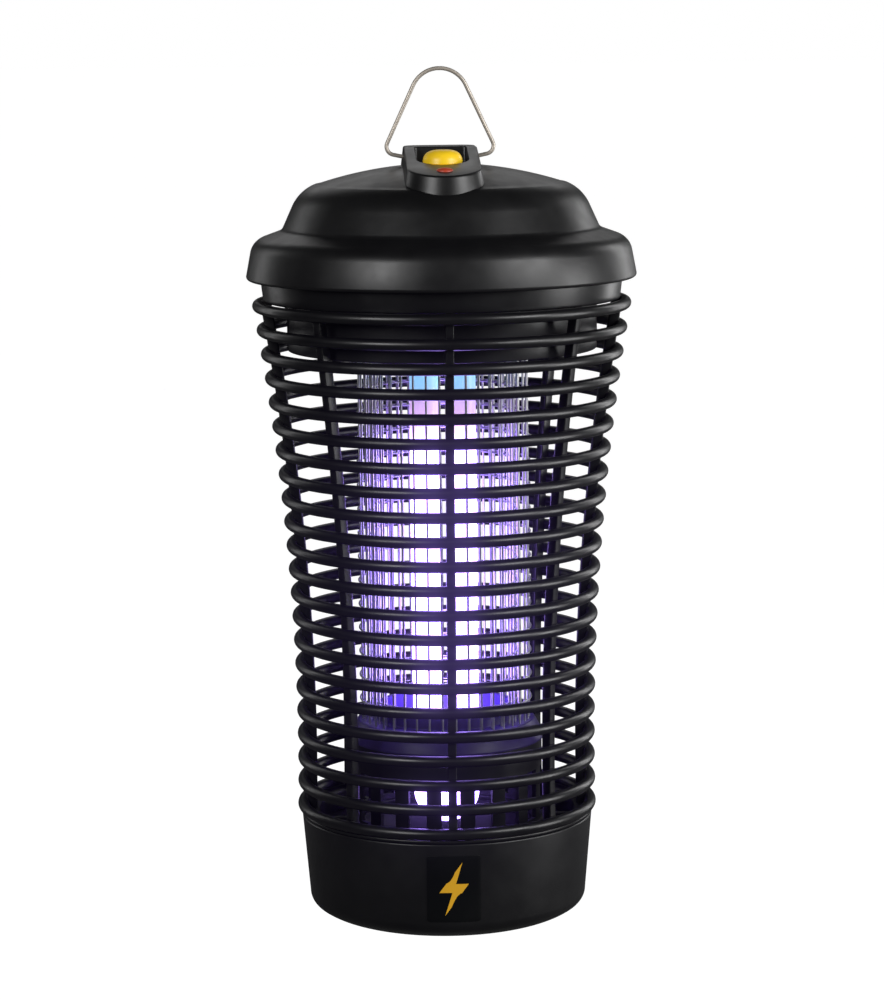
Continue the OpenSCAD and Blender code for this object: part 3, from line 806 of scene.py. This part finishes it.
def hanger_bail():
    lean, dip = 25, 12
    top_r, corner_r, knee_r = 17.3, 5.0, 6.0
    tilt, fall = math.radians(lean), math.radians(dip)
    top_z = BAIL_TOP_Z - BAIL_D / 2 - top_r
    corner_x = (BAIL_W - BAIL_D) / 2 - corner_r
    leg_top = Vector((top_r * math.cos(tilt), top_z + top_r * math.sin(tilt)))
    run = (corner_x + corner_r * math.cos(tilt) - leg_top.x) / math.sin(tilt)
    corner = (leg_top + run * Vector((math.sin(tilt), -math.cos(tilt)))
              - corner_r * Vector((math.cos(tilt), math.sin(tilt))))
    turn_end = corner + corner_r * Vector((math.sin(fall), -math.cos(fall)))
    in_run = (turn_end.y - PIVOT_Z - knee_r * (1 - math.cos(fall))) / math.sin(fall)
    knee_x = turn_end.x - in_run * math.cos(fall) - knee_r * math.sin(fall)
    half = ([(BOSS_W / 2 - 6, PIVOT_Z)] + arc(knee_x, PIVOT_Z + knee_r, knee_r, -90, dip - 90, 5)
            + arc(corner.x, corner.y, corner_r, dip - 90, lean, 16) + arc(0, top_z, top_r, lean, 86, 20))
    path = [(x, 0, z) for x, z in half] + [(-x, 0, z) for x, z in reversed(half)]
    obj = make("bail_wire", *sweep_data(path, circle(BAIL_D / 2, 20), (0, 1, 0)), 50)
    return stands_for(obj, "bail", "bail_steel", "hanger_bail")


# ---- the lamp ----

def lamp_tube():
    bend_z = LAMP_BOTTOM_Z + LAMP_R + LEG_GAP / 2
    half = LEG_GAP / 2
    left = [(-half, 0, z) for z in (LAMP_TOP_Z, 320, 300, 260, 200, 140, 100)]
    bend = [(x, 0, z) for x, z in arc(0, bend_z, half, 180, 360, 24)]
    right = [(-x, y, z) for x, y, z in reversed(left)]
    obj = make("lamp_glow_tube", *sweep_data(left + bend + right, circle(LAMP_R, 32), (0, 1, 0)), 50)
    return stands_for(obj, "body", "lamp_glass", "lamp_tube")


# ---- head and insulators ----

def head_plate():
    inner, outer = DRUM_R - HEAD_WALL, SHROUD_R - HEAD_WALL
    outline = rounded([
        (23, DRUM_Z, 0.4), (DRUM_R, DRUM_Z, 1.6), (DRUM_R, PLATE_Z, 1.0), (outer, PLATE_Z, 1.0),
        (outer, SHROUD_Z, 0.6), (SHROUD_R, SHROUD_Z, 0.9), (SHROUD_R, PLATE_Z, 1.0),
        (PLATE_R, PLATE_Z, 0.5), (PLATE_R, PLATE_Z + 3, 0.5), (inner, PLATE_Z + 3, 1.0),
        (inner, DRUM_Z + HEAD_WALL, 1.0), (23, DRUM_Z + HEAD_WALL, 0.4)], 4)
    obj = make("head_plate_body", *lathe_data(outline, 224))
    return stands_for(obj, "body", "head_plastic", "head_plate")


def upper_insulator():
    low = LAMP_TOP_Z + 9
    top = DRUM_Z - 0.1
    outline = rounded([(40, low, 0.6), (55.5, low, 1.6), (55.5, top, 0.3), (40, top, 0.3)], 5)
    obj = make("insulator_upper", *lathe_data(outline, 192))
    return stands_for(obj, "body", "insulator_plastic", "upper_insulator", material="head_plastic")


def lower_insulator():
    top = SHELF_Z
    outline = rounded([
        (39, top - 8, 0.5), (SKIRT_R - HEAD_WALL, top - 8, 1.0), (SKIRT_R - HEAD_WALL, SKIRT_TOP_Z, 0.2),
        (60, SKIRT_TOP_Z, 0.5), (60, SKIRT_TOP_Z + 1.2, 0.8), (54, top, 1.2), (42.8, top, 1.0),
        (42.8, top + 8.5, 0.8), (39, top + 8.5, 0.8)], 5)
    # its insulator_plastic colour is a dark violet: painted lamp light on the shelf's top
    obj = make("insulator_lower", *lathe_data(outline, 192))
    return stands_for(obj, "body", "insulator_plastic", "lower_insulator")


def skirt_turns():
    """Angles round the skirt, and whether a slot is open between each one and the next."""
    half = math.degrees(SLOT_W / 2 / SKIRT_R)
    step = 360 / SLOT_COUNT
    turns, cuts = [], []
    for k in range(SLOT_COUNT):
        middle = -90 + k * step
        turns += [middle - half + 2 * half * i / 4 for i in range(5)]
        turns += [middle + half + (step - 2 * half) * i / 4 for i in range(1, 4)]
        cuts += [True] * 4 + [False] * 4
    return turns, cuts


def skirt_faces(cuts, at):
    """Faces of both walls, both rims and the slots' edges. At gives a point's number."""
    faces = []
    for i, cut in enumerate(cuts):
        for level in range(3):
            if level == 1 and cut:
                continue
            for side in (0, 1):
                face = [at(side, level, i), at(side, level, i + 1),
                        at(side, level + 1, i + 1), at(side, level + 1, i)]
                faces.append(face if side else face[::-1])
        faces.append([at(0, 0, i), at(0, 0, i + 1), at(1, 0, i + 1), at(1, 0, i)])
        faces.append([at(1, 3, i), at(1, 3, i + 1), at(0, 3, i + 1), at(0, 3, i)])
        if cut:
            faces.append([at(1, 1, i), at(1, 1, i + 1), at(0, 1, i + 1), at(0, 1, i)])
            faces.append([at(0, 2, i), at(0, 2, i + 1), at(1, 2, i + 1), at(1, 2, i)])
        if cut and not cuts[i - 1]:
            faces.append([at(0, 1, i), at(0, 2, i), at(1, 2, i), at(1, 1, i)])
        if not cut and cuts[i - 1]:
            faces.append([at(1, 1, i), at(1, 2, i), at(0, 2, i), at(0, 1, i)])
    return faces


def lamp_skirt():
    """A tube with a row of tall slots, one of them in the middle of the front."""
    heights = (SKIRT_Z, *SLOT_Z, SKIRT_TOP_Z - 0.1)
    turns, cuts = skirt_turns()
    count = len(turns)
    verts = []
    for r in (SKIRT_R - HEAD_WALL, SKIRT_R):
        for z in heights:
            verts += [(r * math.cos(math.radians(a)), r * math.sin(math.radians(a)), z) for a in turns]

    def at(side, level, i):
        return (side * len(heights) + level) * count + i % count

    obj = make("skirt_slotted", verts, skirt_faces(cuts, at), 30)
    return stands_for(obj, "body", "insulator_plastic", "lamp_skirt", material="head_plastic")


def cage_foot():
    """Rim on the tray, a tube that goes down into it, and spokes to a ring under the skirt."""
    inner, spigot = 78.0, 86.0
    rim = rounded([
        (inner, 50 + 2, 0.8), (inner + 5, 50, 1.0), (spigot, 50, 1.0), (spigot, TRAY_H + 0.4, 0.1),
        (TRAY_RIM_R, TRAY_H + 0.4, 0.5), (TRAY_RIM_R, FOOT_TOP_Z, 0.7), (inner, FOOT_TOP_Z, 1.0)], 4)
    hub = rounded([(SKIRT_R - 6, SPOKE_Z - 3, 0.5), (SKIRT_R + 2, SPOKE_Z - 3, 0.5),
                   (SKIRT_R + 2, SPOKE_Z, 0.5), (SKIRT_R - 6, SPOKE_Z, 0.5)], 3)
    parts = [lathe_data(rim, 256), lathe_data(hub, 160)]
    bar = rounded([(-2, -1.5, 0.5), (2, -1.5, 0.5), (2, 1.5, 0.5), (-2, 1.5, 0.5)], 3)
    for out, across in radials(RIB_COUNT):
        ends = [tuple(out * r + Vector((0, 0, SPOKE_Z - 1.5))) for r in (SKIRT_R, inner + 1)]
        parts.append(sweep_data(ends, bar, across))
    obj = make("foot_frame", *joined(parts))
    return stands_for(obj, "body", "cage_plastic", "cage_foot")


def cord_gland():
    """A rubber sleeve with bending ribs, through the pad at the back of the cover."""
    bore = 3.6
    outline = [(bore, 80.2)] + arc(5.5, 80.6, 0.5, -90, 0, 3) + [(6.0, 95.9), (8.0, 96.0)]
    outline += arc(8.0, 96.6, 0.5, -60, 0, 3) + arc(8.0, 98.0, 0.5, 0, 90, 4) + [(7.0, 98.7)]
    for k in range(4):
        y = 99.6 + 2.5 * k
        r = 6.9 - 0.3 * k
        outline += [(r - 0.9, y - 0.5), (r - 0.9, y + 0.2), (r - 0.2, y + 0.5),
                    (r - 0.1, y + 1.4), (r - 0.9, y + 1.7)]
    outline += [(5.2, 109.3), (bore + 0.5, 109.6), (bore, 109.2)]
    obj = make("gland_sleeve", *backwards(lathe_data(outline, 64)))
    return stands_for(obj, "body", "gland_rubber", "cord_gland")


# ---- stage, light, camera ----

def area_light(name, place, target, size, power):
    """A white soft box, in metres and watts, that faces its target."""
    data = bpy.data.lights.new(name, "AREA")
    data.shape = "RECTANGLE"
    data.size, data.size_y = size
    data.energy = power
    obj = bpy.data.objects.new(name, data)
    obj.location = place
    obj.rotation_euler = (Vector(target) - Vector(place)).to_track_quat("-Z", "Y").to_euler()
    bpy.context.scene.collection.objects.link(obj)
    return obj


def white_world():
    """White to look at and dim as a light, as a white sweep is behind a lit object."""
    world = bpy.data.worlds.new("studio")
    bpy.context.scene.world = world
    world.use_nodes = True
    tree = world.node_tree
    shade = tree.nodes["Background"]
    path = tree.nodes.new("ShaderNodeLightPath")
    strength = tree.nodes.new("ShaderNodeMapRange")
    strength.inputs["To Min"].default_value = 0.03
    strength.inputs["To Max"].default_value = 1.0
    tree.links.new(path.outputs["Is Camera Ray"], strength.inputs["Value"])
    tree.links.new(strength.outputs["Result"], shade.inputs["Strength"])
    shade.inputs["Color"].default_value = (1, 1, 1, 1)


def studio_floor():
    """A plain pale floor below the base, because the zapper hangs and its tray drops off."""
    size, z = 40.0, FLOOR_Z
    mesh = bpy.data.meshes.new("studio_floor")
    corners = [(-size, -size, z), (size, -size, z), (size, size, z), (-size, size, z)]
    mesh.from_pydata(corners, [], [(0, 1, 2, 3)])
    floor = bpy.data.objects.new("studio_floor", mesh)
    bpy.context.scene.collection.objects.link(floor)
    mat, tree, shader = new_material("studio_floor")
    shader.inputs["Base Color"].default_value = (0.12, 0.12, 0.12, 1)
    shader.inputs["Roughness"].default_value = 0.9
    shader.inputs["Specular IOR Level"].default_value = 0
    path = tree.nodes.new("ShaderNodeLightPath")
    shader.inputs["Emission Color"].default_value = (1, 1, 1, 1)
    tree.links.new(path.outputs["Is Camera Ray"], shader.inputs["Emission Strength"])
    mesh.materials.append(mat)


def lights():
    """Two low soft boxes in front, a strip behind each side, and a dim box behind."""
    cover = (0, 0, 0.4)
    middle = (0, 0, 0.25)
    area_light("left_box", (-0.82, -1.05, 0.8), cover, (0.55, 0.5), 10)
    area_light("right_box", (1.05, -0.9, 0.8), cover, (0.7, 0.55), 14)
    area_light("right_low", (1.2, -0.25, 0.3), (0, 0, 0.1), (0.4, 0.5), 7)
    area_light("left_strip", (-1.0, 0.85, 0.5), middle, (0.2, 1.0), 1.6)
    area_light("right_strip", (1.0, 0.9, 0.5), middle, (0.25, 1.0), 4)
    area_light("back_box", (0.0, 1.5, 1.15), (0, 0, 0.45), (1.4, 0.5), 2.2)


def lens_glare():
    """The halo that a lens puts round a lit lamp. Only light brighter than white spreads."""
    scene = bpy.context.scene
    scene.use_nodes = True
    tree = scene.node_tree
    tree.nodes.clear()
    layers = tree.nodes.new("CompositorNodeRLayers")
    glare = tree.nodes.new("CompositorNodeGlare")
    out = tree.nodes.new("CompositorNodeComposite")
    glare.glare_type = "BLOOM"
    glare.quality = "HIGH"
    glare.inputs["Threshold"].default_value = GLARE_THRESHOLD
    glare.inputs["Strength"].default_value = GLARE_STRENGTH
    glare.inputs["Size"].default_value = GLARE_SIZE
    tree.links.new(layers.outputs["Image"], glare.inputs["Image"])
    tree.links.new(glare.outputs["Image"], out.inputs["Image"])


def camera():
    """Stands back with a long lens, a little above the top, turned slightly off the object's front."""
    focal = 117.18
    distance, height = 1.958, 0.5453
    turn, pitch, roll = math.radians(2.3), math.radians(8.463), math.radians(-0.62)
    data = bpy.data.cameras.new("camera")
    data.lens = focal
    data.sensor_width = 36
    data.clip_start, data.clip_end = 0.1, 200
    cam = bpy.data.objects.new("camera", data)
    ahead = Vector((math.sin(turn), math.cos(turn), 0))
    right = Vector((math.cos(turn), -math.sin(turn), 0))
    look = ahead * math.cos(pitch) + Vector((0, 0, -math.sin(pitch)))
    cam.location = -ahead * distance - right * 0.0011 + Vector((0, 0, height))
    aim = look.to_track_quat("-Z", "Y").to_matrix() @ Matrix.Rotation(roll, 3, "Z")
    cam.rotation_euler = aim.to_euler()
    bpy.context.scene.collection.objects.link(cam)
    bpy.context.scene.camera = cam


camera()
white_world()
studio_floor()
lights()
lens_glare()
bpy.context.scene.view_settings.view_transform = "Standard"
dress_cad()
cage_rings()
cage_ribs()
cage_collar()
collection_tray()
front_label()
label_bolt()
top_cover()
gland_pad()
switch_housing()
power_button()
button_spring()
indicator_lens()
hanger_bail()
lamp_tube()
head_plate()
upper_insulator()
lower_insulator()
lamp_skirt()
cage_foot()
cord_gland()
